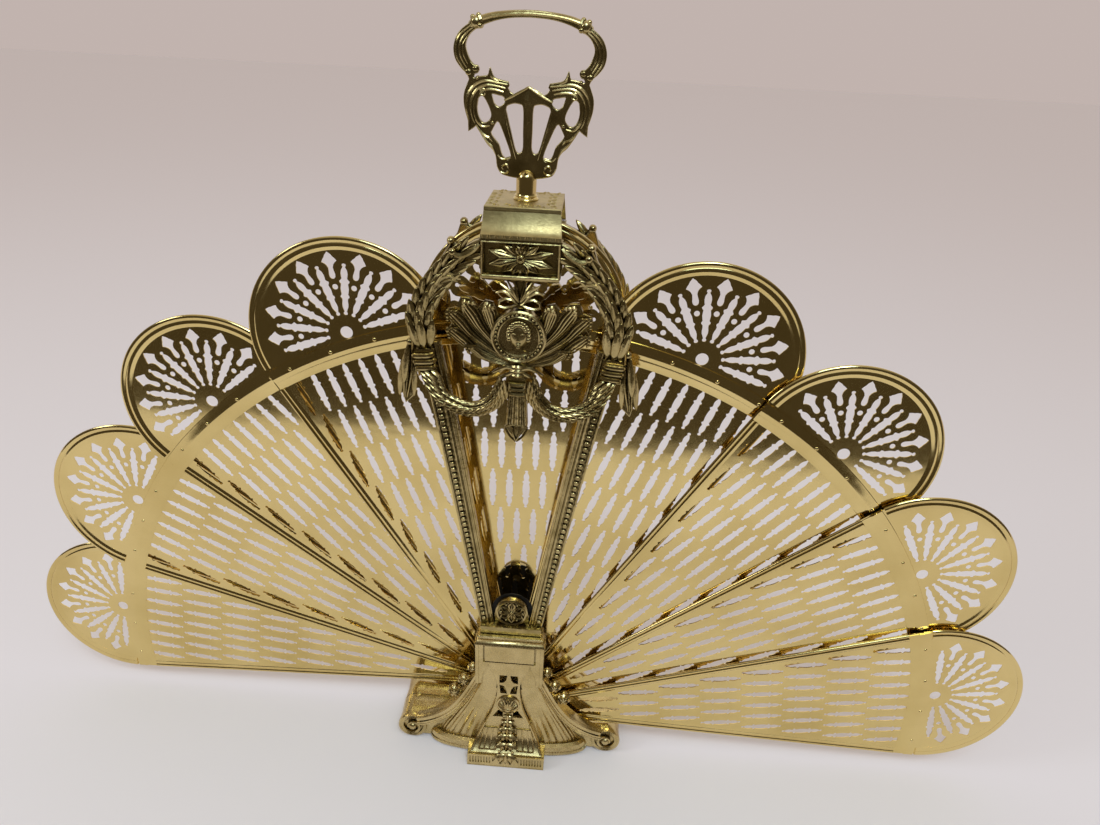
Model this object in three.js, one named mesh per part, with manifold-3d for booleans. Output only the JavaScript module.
// A folding fan fire screen in brass: nine pierced leaves turn on one bolt between two castings.
// Millimetres, +Z up, +X along the open fan, -Y is the front. The origin is on the floor, at the middle.
import * as THREE from "three";
import { mergeVertices } from "three/addons/utils/BufferGeometryUtils.js";
import Module from "manifold-3d";

const wasm = await Module();
wasm.setup();

// Driving dimensions.

const CLEARANCE = 0.3; // between pieces that touch
const SIDES = 8; // sides of a round piece
const FINE_SIDES = 12; // sides of a larger round piece

// The fan.
const PIVOT_HEIGHT = 41; // the pivot bolt above the floor
const LEAVES_EACH_SIDE = 4; // one more leaf stands upright between them
const LEAF_STEP = THREE.MathUtils.degToRad(20.4); // between neighbours when open
const LAYER_PITCH = 4.6; // from one leaf to the next, through the stack
const SHEET = 0.8; // thickness of the leaf sheet
const LEAF_GAP = 1.4; // between the rolled edges of neighbours, through the stack
const PIVOT_END = 7.2; // radius of a leaf's lower end
const HUB_HEIGHT = 403.6; // from the pivot to the middle of the round top
const TOP_LAP = 9.83; // how far each round top reaches past half way to its neighbour
const TOP_RIM = 11; // width of the rolled rim round the top
const RIM_GAP = 1.58; // from the trim band to the ends of that rim
const EDGE_RIM = 8; // width of the rolled straight edges
const EDGE_RIM_START = 34; // from the pivot to where the rolled edges begin
const BAND_DROP = 1.6; // from the middle of the round top down to the trim band
const BAND_WIDTH = 19;
const BAND_THICKNESS = 1;

// Piercing.
const SLOT_ROWS = 8;
const FIRST_ROW_SLOTS = 2;
const FIRST_ROW = 88.5; // from the pivot to the middle of the lowest row
const SLOT_OVERRUN = 0.25; // how far the highest slots run in under the trim band
const SLOT_PITCH = 14.6;
const ROW_GAP = 3; // between the ends of slots in neighbouring rows
const SLOT_WIDTH = 6;
const BURST_RISE = 3.2; // from the middle of the round top up to the middle of the burst
const HUB_HOLE = 5.25;
const RAYS = 9;
const RAY_INNER = 17;
const RAY_OUTER = 56;
const RAY_WIDTH = 5.6;

// The pivot.
const BOLT_RADIUS = 3;
const BOLT_HEAD = 4; // height of the bolt's head and of its nut
const SPACER_RADIUS = 6.4;
const PLATE_THICKNESS = 1;
const PLATE_HALF_WIDTH = 19;
const PLATE_RISE = 16; // from its screw to its top
const STACK_CLEARANCE = 0.6; // from the outermost leaf's rim to the plate

// Castings. Heights are above the pivot. Reaches are outwards from the flat inner faces, which
// stand either side of the stack of leaves.
const WALL = 4;
const PLINTH_HALF_WIDTH = 31;
const PLINTH_REACH = 18.1;
const PLINTH_FOOT = 50;
const PLINTH_TOP = 110;
const PLINTH_TOP_HALF_WIDTH = 28;
const MOULDING_HEIGHT = 11;
const MOULDING_SWELL = 2;
const SCROLL_X = 97;
const ROLL_GAP = 1.1; // from a scroll roll up to the lowest leaf
const TONGUE_REACH = 35.1;
const TONGUE_HALF_WIDTH = 37.5;
const TONGUE_LIP = 8;
const FRAME_DEPTH = 8; // of the bars
const WREATH_DEPTH = 12;
const FOOT_FLANGE = 8; // of the frame, on the plinth
const BAR_FOOT_X = 22;
const BAR_FOOT_WIDTH = 12;
const BAR_HEAD_X = 68.5;
const BAR_HEAD_WIDTH = 17;
const BAR_HEAD_DROP = 15; // from the medallion down to the heads of the bars
const ROSETTE_RISE = 21; // from the plinth to the rosette
const ROSETTE_RADIUS = 16;
const MEDALLION_DROP = 83.9; // from the upright leaf's tip down to the medallion
const MEDALLION_RADIUS = 22;
const WREATH_WIDTH = 14;
const WREATH_STEPS = 9; // along each half
const BOX_HALF_WIDTH = 29;
const BOX_HEIGHT = 30.7;
const BOX_DROP = 10.2; // from the upright leaf's tip down to the top of the box
const BOX_REACH = 12.1;
const BOX_WALL = 3;

// The cap and the handle.
const CAP_RISE = 11.1; // from the upright leaf's tip to the top of the cap
const CAP_HALF_WIDTH = 27.5;
const CAP_REACH = 4.6;
const CAP_SKIRT_REACH = 13.6;
const CAP_WALL = 2.8;
const LUG_HALF_WIDTH = 6;
const POST_RADIUS = 7.3;
const POST_HEIGHT = 22;
const POST_FLANGE_RADIUS = 9;
const POST_FLANGE = 2.5;
const STUD_RADIUS = 3;
const NUT_RADIUS = 5.2;
const NUT_HEIGHT = 4.5;
const HANDLE_THICKNESS = 5;
const HANDLE_RISE = 15; // from the cap to the foot of the handle
const COLLAR_RADIUS = 4.6;
const PIN_RADIUS = 1.4;
const PIN_RISE = 3.5; // above the foot of the handle

// Screws.
const SCREW_RADIUS = 2;
const SCREW_HEAD_RADIUS = 3.6;
const SCREW_HEAD = 3;
const SCREW_BITE = 6; // how far a screw goes into what it holds
const FRAME_SCREW_X = 20;
const FRAME_SCREW_REACH = 8.1;
const CAP_SCREW_REACH = 5.1;
const DOWEL_RADIUS = 2.5;
const DOWEL_SHORT = 4.9; // how far a dowel stops short of the inner faces

// Worked out from the sizes above: the leaves.
const TOP_RADIUS = HUB_HEIGHT * Math.sin(LEAF_STEP / 2) + TOP_LAP;
const RIM_DEPTH = LAYER_PITCH - LEAF_GAP; // of the rolled edges, through the stack
const EDGE_SLOPE = Math.asin((TOP_RADIUS - PIVOT_END) / HUB_HEIGHT);
const BAND_OUTER = HUB_HEIGHT - BAND_DROP; // radii about the pivot
const BAND_INNER = BAND_OUTER - BAND_WIDTH;
const SEAM_RADIUS = BAND_INNER + 9; // where the panel meets the top, under the band
const ROW_PITCH = (BAND_INNER + SLOT_OVERRUN + ROW_GAP / 2 - FIRST_ROW) / (SLOT_ROWS - 0.5);
const SLOT_LENGTH = ROW_PITCH - ROW_GAP;
const LEAF_TIP = HUB_HEIGHT + TOP_RADIUS;

// Worked out: depths from the middle plane.
const STACK_DEPTH = LEAVES_EACH_SIDE * LAYER_PITCH + RIM_DEPTH / 2;
const PLATE_DEPTH = STACK_DEPTH + STACK_CLEARANCE;
const INNER_FACE = PLATE_DEPTH + PLATE_THICKNESS + CLEARANCE; // inner face of the castings
const PLINTH_DEPTH = INNER_FACE + PLINTH_REACH;
const TONGUE_DEPTH = INNER_FACE + TONGUE_REACH;
const BOX_DEPTH = INNER_FACE + BOX_REACH;
const CAP_HALF_DEPTH = INNER_FACE + CAP_REACH;
const CAP_SKIRT_DEPTH = INNER_FACE + CAP_SKIRT_REACH;
const FRAME_SCREW_DEPTH = INNER_FACE + FRAME_SCREW_REACH;
const CAP_SCREW_DEPTH = INNER_FACE + CAP_SCREW_REACH;
const DOWEL_REACH = INNER_FACE - DOWEL_SHORT;

// Worked out: heights above the pivot.
const FLOOR = -PIVOT_HEIGHT;
const LOWEST_EDGE = LEAVES_EACH_SIDE * LEAF_STEP + EDGE_SLOPE - Math.PI / 2; // below level
const LEAF_OVER_ROLL = -PIVOT_END / Math.cos(LOWEST_EDGE) - SCROLL_X * Math.tan(LOWEST_EDGE);
const SCROLL_RADIUS = (LEAF_OVER_ROLL - ROLL_GAP - FLOOR) / 2;
const ROLL_HEIGHT = FLOOR + SCROLL_RADIUS;
const ROSETTE_HEIGHT = PLINTH_TOP + ROSETTE_RISE;
const PLATE_TOP = ROSETTE_HEIGHT + PLATE_RISE;
const MEDALLION_HEIGHT = LEAF_TIP - MEDALLION_DROP;
const BAR_HEAD_HEIGHT = MEDALLION_HEIGHT - BAR_HEAD_DROP;
const BOX_TOP = LEAF_TIP - BOX_DROP;
const BOX_BOTTOM = BOX_TOP - BOX_HEIGHT;
const CAP_TOP = LEAF_TIP + CAP_RISE;
const HANDLE_FOOT = CAP_TOP + HANDLE_RISE;
const PIN_HEIGHT = HANDLE_FOOT + PIN_RISE;

// Solids.

function solid(geometry) {
  const bare = geometry.clone();
  bare.deleteAttribute("normal");
  bare.deleteAttribute("uv");
  const merged = mergeVertices(bare, 1e-4);
  const mesh = new wasm.Mesh({
    numProp: 3,
    vertProperties: merged.attributes.position.array,
    triVerts: new Uint32Array(merged.index.array),
  });
  return new wasm.Manifold(mesh);
}

function join(...solids) {
  return solids.reduce((whole, next) => whole.add(next));
}

// A shape drawn in X and Z, from one depth to another along Y.
function slab(shape, yFrom, yTo, curveSegments = 4) {
  const settings = { depth: yTo - yFrom, bevelEnabled: false, curveSegments };
  const geometry = new THREE.ExtrudeGeometry(shape, settings);
  return solid(geometry.rotateX(Math.PI / 2).translate(0, yTo, 0));
}

// A shape drawn in Y and Z, centred on X.
function crosswise(shape, halfWidth) {
  const settings = { depth: 2 * halfWidth, bevelEnabled: false };
  const geometry = new THREE.ExtrudeGeometry(shape, settings);
  geometry.rotateX(Math.PI / 2).rotateZ(Math.PI / 2);
  return solid(geometry.translate(-halfWidth, 0, 0));
}

function polygon(points) {
  return new THREE.Shape(points.map(([x, y]) => new THREE.Vector2(x, y)));
}

function box(xFrom, xTo, yFrom, yTo, zFrom, zTo) {
  const geometry = new THREE.BoxGeometry(xTo - xFrom, yTo - yFrom, zTo - zFrom);
  return solid(geometry.translate((xFrom + xTo) / 2, (yFrom + yTo) / 2, (zFrom + zTo) / 2));
}

// A round bar along Y, at (x, z).
function barY(radius, x, z, yFrom, yTo, sides = SIDES) {
  const geometry = new THREE.CylinderGeometry(radius, radius, yTo - yFrom, sides);
  return solid(geometry.translate(x, (yFrom + yTo) / 2, z));
}

// A round bar along Z, at (x, y).
function barZ(radius, x, y, zFrom, zTo, sides = SIDES) {
  const geometry = new THREE.CylinderGeometry(radius, radius, zTo - zFrom, sides);
  return solid(geometry.rotateX(Math.PI / 2).translate(x, y, (zFrom + zTo) / 2));
}

// The same points, moved up.
function raised(points, height) {
  return points.map(([x, z]) => [x, z + height]);
}

function mirrorPoints(points) {
  return points.map(([x, z]) => [-x, z]).reverse();
}

// A flat ribbon of even width along a smooth line.
function ribbon(points, width, steps) {
  const line = new THREE.SplineCurve(points.map(([x, z]) => new THREE.Vector2(x, z)));
  const left = [];
  const right = [];
  for (let i = 0; i <= steps; i += 1) {
    const p = line.getPoint(i / steps);
    const along = line.getTangent(i / steps);
    const offset = new THREE.Vector2(-along.y, along.x).multiplyScalar(width / 2);
    left.push(p.clone().add(offset));
    right.unshift(p.clone().sub(offset));
  }
  const outline = [...left, ...right];
  return new THREE.Shape(THREE.ShapeUtils.isClockWise(outline) ? outline.reverse() : outline);
}

// A solid through horizontal sections that have the same number of points.
function loft(sections) {
  const count = sections[0].points.length;
  const positions = sections.flatMap(({ z, points }) => points.flatMap(([x, y]) => [x, y, z]));
  const index = [];
  for (let s = 0; s + 1 < sections.length; s += 1) {
    for (let i = 0; i < count; i += 1) {
      const a = s * count + i;
      const b = s * count + ((i + 1) % count);
      index.push(a, b, b + count, a, b + count, a + count);
    }
  }
  const flat = sections[0].points.map(([x, y]) => new THREE.Vector2(x, y));
  const caps = THREE.ShapeUtils.triangulateShape(flat, []);
  const top = (sections.length - 1) * count;
  caps.forEach(([a, b, c]) => index.push(a, c, b, top + a, top + b, top + c));
  const geometry = new THREE.BufferGeometry();
  geometry.setAttribute("position", new THREE.Float32BufferAttribute(positions, 3));
  geometry.setIndex(index);
  return solid(geometry);
}

function addMesh(parent, name, body, look) {
  const { numProp, vertProperties, triVerts } = body.getMesh();
  const geometry = new THREE.BufferGeometry();
  const positions = new THREE.InterleavedBuffer(vertProperties, numProp);
  geometry.setAttribute("position", new THREE.InterleavedBufferAttribute(positions, 3, 0));
  geometry.setIndex(new THREE.BufferAttribute(triVerts, 1));
  const mesh = new THREE.Mesh(geometry.toNonIndexed(), new THREE.MeshStandardMaterial(look));
  mesh.geometry.computeVertexNormals();
  mesh.name = name;
  parent.add(mesh);
  return mesh;
}

const POLISHED = { color: 0xc9a855, roughness: 0.15, metalness: 1 };
const ANTIQUE = { color: 0x9a7f42, roughness: 0.35, metalness: 1 };
const SATIN = { color: 0xb39a5c, roughness: 0.4, metalness: 1 };
const STEEL = { color: 0x8c8c88, roughness: 0.4, metalness: 1 };
const BLACK = { color: 0x14120e, roughness: 0.6, metalness: 0.2 };

// Leaves. Each is drawn upright with the pivot at its origin.

// Where the straight edge crosses an arc about the pivot, as an angle from the leaf's axis.
function edgeAngle(radius) {
  return EDGE_SLOPE + Math.asin(PIVOT_END / radius);
}

// A point at a distance up the straight edge, and a distance in from it.
function edgePoint(along, inward) {
  const across = PIVOT_END - inward;
  const x = across * Math.cos(EDGE_SLOPE) + along * Math.sin(EDGE_SLOPE);
  return [x, along * Math.cos(EDGE_SLOPE) - across * Math.sin(EDGE_SLOPE)];
}

function diamond(x, z, turn, length, width) {
  const along = new THREE.Vector2(Math.sin(turn), Math.cos(turn)).multiplyScalar(length / 2);
  const across = new THREE.Vector2(Math.cos(turn), -Math.sin(turn)).multiplyScalar(width / 2);
  const corners = [along, across, along.clone().negate(), across.clone().negate()];
  return new THREE.Path(corners.map((corner) => new THREE.Vector2(x, z).add(corner)));
}

function roundHole(x, z, radius) {
  const corner = (i) => {
    const turn = (-2 * Math.PI * i) / SIDES;
    return new THREE.Vector2(x + radius * Math.cos(turn), z + radius * Math.sin(turn));
  };
  return new THREE.Path(Array.from({ length: SIDES }, (_, i) => corner(i)));
}

function leafPanel() {
  const top = SEAM_RADIUS - CLEARANCE;
  const spread = edgeAngle(top);
  const sheet = new THREE.Shape();
  sheet.absarc(0, 0, PIVOT_END, Math.PI + EDGE_SLOPE, 2 * Math.PI - EDGE_SLOPE, false);
  sheet.absarc(0, 0, top, Math.PI / 2 - spread, Math.PI / 2 + spread, false);
  for (let row = 0; row < SLOT_ROWS; row += 1) {
    const slots = FIRST_ROW_SLOTS + row;
    for (let i = 0; i < slots; i += 1) {
      const x = (i - (slots - 1) / 2) * SLOT_PITCH;
      sheet.holes.push(diamond(x, FIRST_ROW + row * ROW_PITCH, 0, SLOT_LENGTH, SLOT_WIDTH));
    }
  }
  sheet.holes.push(roundHole(0, 0, BOLT_RADIUS + CLEARANCE));
  const rimTop = BAND_INNER - 1;
  const outline = [
    edgePoint(EDGE_RIM_START, 0),
    edgePoint(rimTop, 0),
    edgePoint(rimTop, EDGE_RIM),
    edgePoint(EDGE_RIM_START, EDGE_RIM),
  ];
  const rims = [outline, mirrorPoints(outline)].map((points) =>
    slab(polygon(points), -RIM_DEPTH / 2, RIM_DEPTH / 2));
  return join(slab(sheet, -SHEET / 2, SHEET / 2), ...rims);
}

function leafTop() {
  const low = SEAM_RADIUS + CLEARANCE;
  const spread = edgeAngle(low);
  const sheet = new THREE.Shape();
  sheet.absarc(0, HUB_HEIGHT, TOP_RADIUS, -EDGE_SLOPE, Math.PI + EDGE_SLOPE, false);
  sheet.absarc(0, 0, low, Math.PI / 2 + spread, Math.PI / 2 - spread, true);
  const burst = HUB_HEIGHT + BURST_RISE;
  sheet.holes.push(roundHole(0, burst, HUB_HOLE));
  for (let i = 0; i < RAYS; i += 1) {
    const turn = (i / (RAYS - 1) - 0.5) * Math.PI;
    const reach = (RAY_INNER + RAY_OUTER) / 2;
    const x = reach * Math.sin(turn);
    const z = burst + reach * Math.cos(turn);
    sheet.holes.push(diamond(x, z, turn, RAY_OUTER - RAY_INNER, RAY_WIDTH));
  }
  // The rim starts just clear of the band, whose distance from the pivot sets the angle.
  const inside = TOP_RADIUS - TOP_RIM;
  const clear = BAND_OUTER + RIM_GAP;
  const dip = Math.asin((HUB_HEIGHT ** 2 + inside ** 2 - clear ** 2) / (2 * HUB_HEIGHT * inside));
  const rim = new THREE.Shape();
  rim.absarc(0, HUB_HEIGHT, TOP_RADIUS, -dip, Math.PI + dip, false);
  rim.absarc(0, HUB_HEIGHT, inside, Math.PI + dip, -dip, true);
  const segments = 6;
  return join(
    slab(sheet, -SHEET / 2, SHEET / 2, segments), slab(rim, -RIM_DEPTH / 2, RIM_DEPTH / 2, segments));
}

function leafBand() {
  const spread = edgeAngle(BAND_OUTER);
  const strip = new THREE.Shape();
  strip.absarc(0, 0, BAND_OUTER, Math.PI / 2 - spread, Math.PI / 2 + spread, false);
  strip.absarc(0, 0, BAND_INNER, Math.PI / 2 + spread, Math.PI / 2 - spread, true);
  const back = -SHEET / 2 - CLEARANCE;
  return slab(strip, back - BAND_THICKNESS, back);
}

// Pivot pieces, drawn for the front. The back ones are the same, turned half round.

function pivotPlate() {
  const plate = new THREE.Shape();
  plate.absarc(0, PLATE_TOP - PLATE_HALF_WIDTH, PLATE_HALF_WIDTH, 0, Math.PI, false);
  plate.absarc(0, 0, PLATE_HALF_WIDTH, Math.PI, 2 * Math.PI, false);
  plate.holes.push(roundHole(0, 0, BOLT_RADIUS + CLEARANCE));
  plate.holes.push(roundHole(0, ROSETTE_HEIGHT, SCREW_HEAD_RADIUS + CLEARANCE));
  return slab(plate, -PLATE_DEPTH - PLATE_THICKNESS, -PLATE_DEPTH);
}

function plateScrew() {
  const headFrom = -PLATE_DEPTH - PLATE_THICKNESS;
  const head = barY(SCREW_HEAD_RADIUS, 0, ROSETTE_HEIGHT, headFrom, -PLATE_DEPTH);
  return join(head, barY(SCREW_RADIUS, 0, ROSETTE_HEIGHT, -INNER_FACE - SCREW_BITE, headFrom));
}

function pivotWasher() {
  const from = STACK_DEPTH - RIM_DEPTH / 2 + SHEET / 2 + CLEARANCE;
  const ring = barY(SPACER_RADIUS, 0, 0, -PLATE_DEPTH + CLEARANCE, -from);
  return ring.subtract(barY(BOLT_RADIUS + CLEARANCE, 0, 0, -PLATE_DEPTH, 0));
}

// The spacer between two leaves, drawn about the middle plane.
function leafSpacer() {
  const half = (LAYER_PITCH - SHEET) / 2 - CLEARANCE;
  const ring = barY(SPACER_RADIUS, 0, 0, -half, half);
  return ring.subtract(barY(BOLT_RADIUS + CLEARANCE, 0, 0, -LAYER_PITCH, LAYER_PITCH));
}

function pivotBolt() {
  const under = -PLATE_DEPTH - PLATE_THICKNESS - CLEARANCE;
  const head = barY(2 * BOLT_RADIUS, 0, 0, under - BOLT_HEAD, under, 6);
  return join(head, barY(BOLT_RADIUS, 0, 0, under, -under + BOLT_HEAD + 1));
}

function pivotNut() {
  const from = PLATE_DEPTH + PLATE_THICKNESS + CLEARANCE;
  const nut = barY(2 * BOLT_RADIUS, 0, 0, from, from + BOLT_HEAD, 6);
  return nut.subtract(barY(BOLT_RADIUS + CLEARANCE, 0, 0, 0, from + 2 * BOLT_HEAD));
}

// The base half: a hollow casting with a fluted bell, a plinth, a tongue and two scroll rolls.

// Half of a rounded plan, closed by its straight inner side.
function bellSection(z, halfWidth, depth, inset) {
  const points = [];
  const inner = INNER_FACE - (inset ? 1 : 0);
  for (let i = 0; i <= SIDES; i += 1) {
    const turn = Math.PI + (Math.PI * i) / SIDES;
    const x = (halfWidth - inset) * Math.cos(turn);
    points.push([x, -inner + (depth - inset - inner) * Math.sin(turn)]);
  }
  return { z, points };
}

function bell(inset) {
  const profile = [
    [FLOOR, 74, 16.1],
    [FLOOR + 7, 79, 19.1],
    [FLOOR + 14, 71, 15.1],
    [FLOOR + 29, 56, 12.1],
    [8, 42, 11.1],
    [30, 33, 12.1],
    [PLINTH_FOOT + 2, PLINTH_TOP_HALF_WIDTH, 14.1],
  ];
  const sections = profile.map(([z, width, reach]) =>
    bellSection(z, width, INNER_FACE + reach, inset));
  if (inset) {
    sections[0].z = FLOOR - 1;
  }
  return loft(sections);
}

function tongue() {
  const side = polygon([
    [TONGUE_REACH, FLOOR],
    [14.1, FLOOR],
    [12.1, -10],
    [10.1, 20],
    [11.1, PLINTH_FOOT + 2],
    [16.6, PLINTH_FOOT + 2],
    [15.1, 20],
    [18.1, -8],
    [24.1, FLOOR + 14],
    [TONGUE_REACH, FLOOR + TONGUE_LIP],
  ].map(([reach, z]) => [-INNER_FACE - reach, z]));
  const rightEdge = [
    [TONGUE_HALF_WIDTH, FLOOR - 1],
    [TONGUE_HALF_WIDTH, FLOOR + TONGUE_LIP],
    [33, FLOOR + TONGUE_LIP + 1],
    [17, 13],
    [11, PLINTH_FOOT - 4],
    [17, PLINTH_FOOT + 8],
  ];
  const face = polygon([...rightEdge, ...mirrorPoints(rightEdge)]);
  return crosswise(side, 2 * TONGUE_HALF_WIDTH).intersect(slab(face, -2 * TONGUE_DEPTH, 0));
}

function scrollArm() {
  const top = ROLL_HEIGHT + SCROLL_RADIUS;
  const outline = [
    [24, PLINTH_FOOT + 10],
    [PLINTH_HALF_WIDTH, PLINTH_FOOT + 8],
    [38, 30],
    [54, 5],
    [SCROLL_X - 23, top + 4],
    [SCROLL_X - 4, top],
    [SCROLL_X - 4, top - 11],
    [SCROLL_X - 27, top - 10],
    [48, -8],
    [30, 20],
  ].reverse();
  return [outline, mirrorPoints(outline)].map((points) =>
    slab(polygon(points), -INNER_FACE - FRAME_DEPTH, -INNER_FACE));
}

function scrollRolls() {
  return [-SCROLL_X, SCROLL_X].map((x) =>
    barY(SCROLL_RADIUS, x, ROLL_HEIGHT, -INNER_FACE - 2, -CLEARANCE / 2, FINE_SIDES));
}

// The block that ties a roll to the bell, below the lowest leaf.
function endBlock(side) {
  const xs = [side * 60, side * SCROLL_X].sort((a, b) => a - b);
  return box(xs[0], xs[1], -INNER_FACE - 2, -CLEARANCE / 2, FLOOR + 2, ROLL_HEIGHT + 6);
}

function plinth() {
  const block = box(
    -PLINTH_HALF_WIDTH, PLINTH_HALF_WIDTH, -PLINTH_DEPTH, -INNER_FACE,
    PLINTH_FOOT + 2, PLINTH_TOP - MOULDING_HEIGHT);
  const rectangle = (z, half, depth) => ({
    z,
    points: [[-half, -depth], [half, -depth], [half, -INNER_FACE], [-half, -INNER_FACE]],
  });
  const low = PLINTH_TOP - MOULDING_HEIGHT;
  const moulding = loft([
    rectangle(low, PLINTH_HALF_WIDTH + MOULDING_SWELL, PLINTH_DEPTH + MOULDING_SWELL),
    rectangle(low + 3, PLINTH_HALF_WIDTH + MOULDING_SWELL, PLINTH_DEPTH + MOULDING_SWELL),
    rectangle(PLINTH_TOP, PLINTH_TOP_HALF_WIDTH, PLINTH_DEPTH - MOULDING_SWELL),
  ]);
  return join(block, moulding);
}

function baseHalf() {
  const cavity = box(
    -PLINTH_HALF_WIDTH + WALL, PLINTH_HALF_WIDTH - WALL, -PLINTH_DEPTH + WALL, -INNER_FACE + 1,
    PLINTH_FOOT, PLINTH_TOP - WALL);
  const screwHoles = [-FRAME_SCREW_X, FRAME_SCREW_X].map((x) =>
    barZ(SCREW_RADIUS + CLEARANCE, x, -FRAME_SCREW_DEPTH, PLINTH_TOP - 2 * WALL, PLINTH_TOP + 1));
  const dowelHoles = [-SCROLL_X, SCROLL_X].map((x) =>
    barY(DOWEL_RADIUS + CLEARANCE, x, ROLL_HEIGHT, -DOWEL_REACH - CLEARANCE, 0));
  const cuts = [bell(WALL), cavity, ...screwHoles, ...dowelHoles];
  const outside = join(
    bell(0), tongue(), plinth(), ...scrollArm(), ...scrollRolls(), endBlock(-1), endBlock(1));
  return cuts.reduce((rest, cut) => rest.subtract(cut), outside);
}

function baseDowel(x) {
  return barY(DOWEL_RADIUS, x, ROLL_HEIGHT, -DOWEL_REACH, DOWEL_REACH);
}

// The frame: two bars in a V, a wreath with a medallion, and a box that carries the cap.

function frameBars() {
  const foot = PLINTH_TOP + FOOT_FLANGE;
  const bar = [
    [BAR_FOOT_X - BAR_FOOT_WIDTH / 2, foot - 2],
    [BAR_FOOT_X + BAR_FOOT_WIDTH / 2, foot - 2],
    [BAR_HEAD_X + BAR_HEAD_WIDTH / 2, BAR_HEAD_HEIGHT],
    [BAR_HEAD_X - BAR_HEAD_WIDTH / 2, BAR_HEAD_HEIGHT + 4],
  ];
  return [bar, mirrorPoints(bar)].map((points) =>
    slab(polygon(points), -INNER_FACE - FRAME_DEPTH, -INNER_FACE));
}

function frameFoot() {
  const low = PLINTH_TOP + CLEARANCE;
  const high = PLINTH_TOP + FOOT_FLANGE;
  const wide = BAR_FOOT_X + BAR_FOOT_WIDTH / 2;
  const flange = box(-wide, wide, -PLINTH_DEPTH + WALL, -INNER_FACE, low, high);
  const inner = BAR_FOOT_X - BAR_FOOT_WIDTH / 2 + 2;
  const web = box(-inner, inner, -INNER_FACE - FRAME_DEPTH / 2, -INNER_FACE, high - 1, ROSETTE_HEIGHT);
  const disc = barY(
    ROSETTE_RADIUS, 0, ROSETTE_HEIGHT, -INNER_FACE - FRAME_DEPTH, -INNER_FACE, FINE_SIDES);
  return [flange, web, disc];
}

function wreath() {
  const half = raised([
    [44, 57],
    [64, 33],
    [74, 3],
    [73, -31],
    [60, -56],
    [38, -65],
    [16, -56],
    [0, -39],
  ], MEDALLION_HEIGHT);
  const face = -INNER_FACE - WREATH_DEPTH;
  const branch = ribbon(half, WREATH_WIDTH, WREATH_STEPS);
  const mirrored = ribbon(half.map(([x, z]) => [-x, z]), WREATH_WIDTH, WREATH_STEPS);
  return [branch, mirrored].map((shape) => slab(shape, face, -INNER_FACE));
}

function wreathTrim() {
  const face = -INNER_FACE - WREATH_DEPTH;
  const shoulder = [
    [26, 70],
    [40, 61],
    [52, 69],
    [58, 51],
    [42, 43],
    [26, 59],
  ].reverse();
  const drop = [
    [74, -11],
    [84, -15],
    [91, -49],
    [88, -65],
    [81, -59],
    [82, -39],
    [76, -27],
  ].reverse();
  return [shoulder, drop].flatMap((points) => [points, mirrorPoints(points)]).map((points) =>
    slab(polygon(raised(points, MEDALLION_HEIGHT)), face + 3, -INNER_FACE));
}

function medallion() {
  const face = -INNER_FACE - WREATH_DEPTH;
  const disc = barY(MEDALLION_RADIUS, 0, MEDALLION_HEIGHT, face, -INNER_FACE, FINE_SIDES);
  const plume = raised([
    [4, -21],
    [38, -11],
    [53, 3],
    [54, 18],
    [40, 27],
    [24, 23],
    [12, 9],
  ], MEDALLION_HEIGHT);
  const plumes = [plume, mirrorPoints(plume)].map((points) =>
    slab(polygon(points), face + 4, -INNER_FACE));
  const stem = box(-5, 5, face + 2, -INNER_FACE, MEDALLION_HEIGHT + 14, BOX_BOTTOM + 2);
  const sheaf = raised([
    [-6, -17],
    [-9, -49],
    [-8, -79],
    [0, -90],
    [8, -79],
    [9, -49],
    [6, -17],
  ], MEDALLION_HEIGHT);
  return [disc, ...plumes, stem, slab(polygon(sheaf), face, -INNER_FACE)];
}

function flowerBox() {
  const outside = box(-BOX_HALF_WIDTH, BOX_HALF_WIDTH, -BOX_DEPTH, -INNER_FACE, BOX_BOTTOM, BOX_TOP);
  const wide = BOX_HALF_WIDTH - BOX_WALL;
  return outside.subtract(
    box(-wide, wide, -BOX_DEPTH + BOX_WALL, -INNER_FACE + 1, BOX_BOTTOM + BOX_WALL, BOX_TOP - BOX_WALL));
}

function frameCasting() {
  const whole = join(
    ...frameBars(), ...frameFoot(), ...wreath(), ...wreathTrim(), ...medallion(), flowerBox());
  const blind = PLINTH_TOP + SCREW_BITE + 2 * CLEARANCE;
  const cuts = [-FRAME_SCREW_X, FRAME_SCREW_X].map((x) =>
    barZ(SCREW_RADIUS + CLEARANCE, x, -FRAME_SCREW_DEPTH, PLINTH_TOP - 1, blind));
  cuts.push(barZ(SCREW_RADIUS + CLEARANCE, 0, -CAP_SCREW_DEPTH, BOX_TOP - 2 * BOX_WALL, BOX_TOP + 1));
  cuts.push(barY(
    SCREW_RADIUS + CLEARANCE, 0, ROSETTE_HEIGHT, -INNER_FACE - SCREW_BITE - CLEARANCE, -INNER_FACE + 1));
  return cuts.reduce((rest, cut) => rest.subtract(cut), whole);
}

// A screw that stands upright, with its head below what it passes through.
function uprightScrew(x, y, underside, bottomOfNut) {
  const shank = barZ(SCREW_RADIUS, x, y, underside, bottomOfNut + SCREW_BITE);
  return join(barZ(SCREW_HEAD_RADIUS, x, y, underside - SCREW_HEAD, underside), shank);
}

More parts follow.
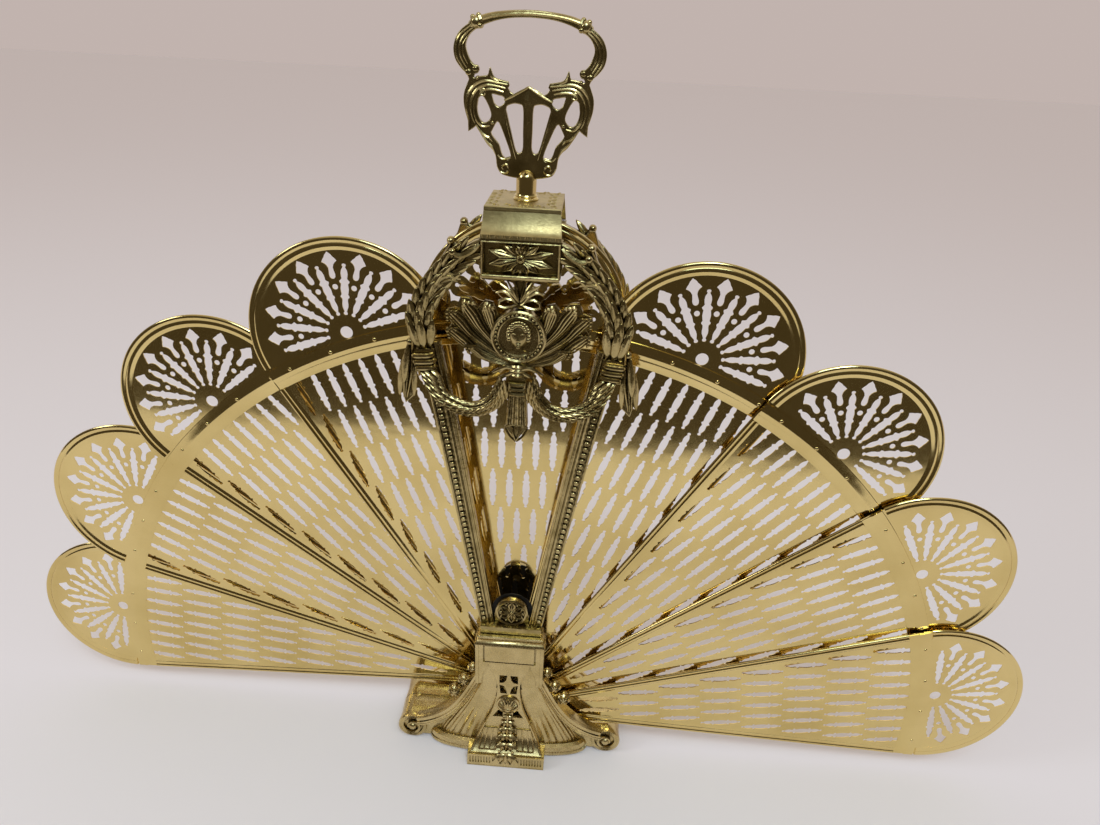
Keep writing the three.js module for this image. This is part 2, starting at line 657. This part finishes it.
// The cap: a channel that bridges the two frames over the leaf tips, with a lug for each screw.
function capSaddle() {
  const low = BOX_TOP + CLEARANCE;
  const half = [
    [CAP_SKIRT_DEPTH, low],
    [CAP_SKIRT_DEPTH, low + 3],
    [CAP_HALF_DEPTH + 3, low + 9],
    [CAP_HALF_DEPTH, CAP_TOP - 3],
    [CAP_HALF_DEPTH, CAP_TOP],
  ];
  const inner = [
    [CAP_SKIRT_DEPTH - CAP_WALL, low],
    [CAP_SKIRT_DEPTH - CAP_WALL, low + 2],
    [CAP_HALF_DEPTH + 3 - CAP_WALL, low + 7],
    [CAP_HALF_DEPTH - CAP_WALL, CAP_TOP - CAP_WALL],
  ];
  const profile = polygon([
    ...half, ...mirrorPoints(half), ...mirrorPoints(inner).reverse(), ...inner.slice().reverse(),
  ]);
  const lugTop = low + SCREW_BITE + 4;
  const lugs = [-1, 1].map((side) => {
    const ys = [side * (CAP_SCREW_DEPTH - 4), side * (CAP_SKIRT_DEPTH - CAP_WALL + 1)];
    ys.sort((a, b) => a - b);
    return box(-LUG_HALF_WIDTH, LUG_HALF_WIDTH, ys[0], ys[1], low, lugTop);
  });
  const outer = polygon([...half, ...mirrorPoints(half)]);
  const held = lugs.map((lug) => lug.intersect(crosswise(outer, CAP_HALF_WIDTH)));
  const whole = join(crosswise(profile, CAP_HALF_WIDTH), ...held);
  const cuts = [-CAP_SCREW_DEPTH, CAP_SCREW_DEPTH].map((y) =>
    barZ(SCREW_RADIUS + CLEARANCE, 0, y, low - 1, low + SCREW_BITE + CLEARANCE));
  cuts.push(barZ(STUD_RADIUS + CLEARANCE, 0, 0, CAP_TOP - 2 * CAP_WALL, CAP_TOP + 1));
  return cuts.reduce((rest, cut) => rest.subtract(cut), whole);
}

function handlePost() {
  const foot = CAP_TOP + CLEARANCE;
  const top = CAP_TOP + POST_HEIGHT;
  const profile = [
    [0, CAP_TOP - CAP_WALL - CLEARANCE - NUT_HEIGHT],
    [STUD_RADIUS, CAP_TOP - CAP_WALL - CLEARANCE - NUT_HEIGHT],
    [STUD_RADIUS, foot],
    [POST_FLANGE_RADIUS, foot],
    [POST_FLANGE_RADIUS, foot + POST_FLANGE],
    [POST_RADIUS, foot + POST_FLANGE + 1],
    [POST_RADIUS, top - POST_RADIUS],
  ];
  for (let i = 1; i <= 4; i += 1) {
    const turn = (i * Math.PI) / 8;
    const radius = i < 4 ? POST_RADIUS * Math.cos(turn) : 0;
    profile.push([radius, top - POST_RADIUS + POST_RADIUS * Math.sin(turn)]);
  }
  const points = profile.map(([r, z]) => new THREE.Vector2(r, z));
  const post = solid(new THREE.LatheGeometry(points, FINE_SIDES).rotateX(Math.PI / 2));
  const gap = HANDLE_THICKNESS / 2 + CLEARANCE;
  const slot = box(-2 * POST_RADIUS, 2 * POST_RADIUS, -gap, gap, HANDLE_FOOT - CLEARANCE, top + 1);
  return post.subtract(slot).subtract(pinHole());
}

function pinHole() {
  return barY(PIN_RADIUS + CLEARANCE, 0, PIN_HEIGHT, -2 * POST_RADIUS, 2 * POST_RADIUS, 8);
}

function handlePin() {
  return barY(PIN_RADIUS, 0, PIN_HEIGHT, -POST_RADIUS + 1, POST_RADIUS - 1, 8);
}

function postNut() {
  const high = CAP_TOP - CAP_WALL - CLEARANCE;
  const nut = barZ(NUT_RADIUS, 0, 0, high - NUT_HEIGHT, high, 6);
  return nut.subtract(barZ(STUD_RADIUS + CLEARANCE, 0, 0, high - 2 * NUT_HEIGHT, high + 1));
}

function handleCasting() {
  const rightOutside = raised([
    [0, 0],
    [18, 2],
    [21, 12],
    [35, 30],
    [40, 28],
    [44, 52],
    [41, 63],
    [50, 74],
    [51, 85],
    [46, 93],
    [36, 100],
    [20, 105],
    [0, 107],
  ], HANDLE_FOOT);
  const left = mirrorPoints(rightOutside).slice(1, -1);
  const shape = polygon([...rightOutside, ...left]);
  const rightLoop = raised([
    [0, 102.5],
    [19, 100.5],
    [32, 96],
    [41, 85],
    [35, 74],
    [36, 66],
    [15, 63],
    [13, 55],
    [5, 54],
    [0, 59],
  ], HANDLE_FOOT);
  shape.holes.push(polygon([...rightLoop, ...mirrorPoints(rightLoop).slice(1, -1)]));
  const windows = [
    [[31, 52], [35, 49], [34, 37], [28, 36], [25, 40]],
    [[26, 54], [17, 53], [16, 49], [20, 47]],
    [[3, 46], [15, 45], [9, 18], [3, 18]],
    [[20, 35], [23, 35], [21, 20], [14, 12], [12, 15]],
  ];
  const cuts = windows.flatMap((points) => [points, mirrorPoints(points)]).map((points) =>
    slab(polygon(raised(points, HANDLE_FOOT)), -HANDLE_THICKNESS, HANDLE_THICKNESS));
  const plate = slab(shape, -HANDLE_THICKNESS / 2, HANDLE_THICKNESS / 2);
  const collars = [-1, 1].map((side) =>
    solid(new THREE.SphereGeometry(COLLAR_RADIUS, 6, 4).translate(side * 36, 0, HANDLE_FOOT + 98)));
  return [pinHole(), ...cuts].reduce((rest, cut) => rest.subtract(cut), join(plate, ...collars));
}

// Assembly. The pieces are drawn about the pivot, and the whole is raised to stand on the floor.

const screen = new THREE.Group();
const about = new THREE.Group();
about.position.z = PIVOT_HEIGHT;
screen.add(about);

const panelBody = leafPanel();
const topBody = leafTop();
const bandBody = leafBand();
const spacerBody = leafSpacer();

// Leaf 1 is the lowest on the left and lies at the back. The last is the lowest on the right.
for (let place = -LEAVES_EACH_SIDE; place <= LEAVES_EACH_SIDE; place += 1) {
  const number = place + LEAVES_EACH_SIDE + 1;
  const leaf = new THREE.Group();
  leaf.rotation.y = place * LEAF_STEP;
  leaf.position.y = -place * LAYER_PITCH;
  about.add(leaf);
  addMesh(leaf, `leaf_panel_${number}`, panelBody, POLISHED);
  addMesh(leaf, `leaf_top_${number}`, topBody, POLISHED);
  addMesh(leaf, `leaf_band_${number}`, bandBody, POLISHED);
  if (place < LEAVES_EACH_SIDE) {
    const spacer = addMesh(about, `leaf_spacer_${number}`, spacerBody, STEEL);
    spacer.position.y = -(place + 0.5) * LAYER_PITCH;
  }
}

addMesh(about, "pivot_bolt", pivotBolt(), STEEL);
addMesh(about, "pivot_nut", pivotNut(), STEEL);

const base = baseHalf();
const frame = frameCasting();
for (const side of ["front", "back"]) {
  const half = new THREE.Group();
  half.rotation.z = side === "front" ? 0 : Math.PI;
  about.add(half);
  addMesh(half, `pivot_plate_${side}`, pivotPlate(), BLACK);
  addMesh(half, `pivot_washer_${side}`, pivotWasher(), STEEL);
  addMesh(half, `plate_screw_${side}`, plateScrew(), STEEL);
  addMesh(half, `base_${side}`, base, SATIN);
  addMesh(half, `${side}_frame`, frame, ANTIQUE);
  const underPlinthTop = PLINTH_TOP - WALL - CLEARANCE;
  const frameScrews = [["left", -FRAME_SCREW_X], ["right", FRAME_SCREW_X]];
  frameScrews.forEach(([hand, x]) => {
    const screw = uprightScrew(x, -FRAME_SCREW_DEPTH, underPlinthTop, PLINTH_TOP);
    addMesh(half, `frame_screw_${side}_${hand}`, screw, STEEL);
  });
  const underBoxTop = BOX_TOP - BOX_WALL - CLEARANCE;
  addMesh(half, `cap_screw_${side}`, uprightScrew(0, -CAP_SCREW_DEPTH, underBoxTop, BOX_TOP), STEEL);
}

addMesh(about, "base_dowel_left", baseDowel(-SCROLL_X), STEEL);
addMesh(about, "base_dowel_right", baseDowel(SCROLL_X), STEEL);
addMesh(about, "cap_saddle", capSaddle(), SATIN);
addMesh(about, "handle_post", handlePost(), POLISHED);
addMesh(about, "post_nut", postNut(), STEEL);
addMesh(about, "handle", handleCasting(), ANTIQUE);
addMesh(about, "handle_pin", handlePin(), POLISHED);

export default screen;
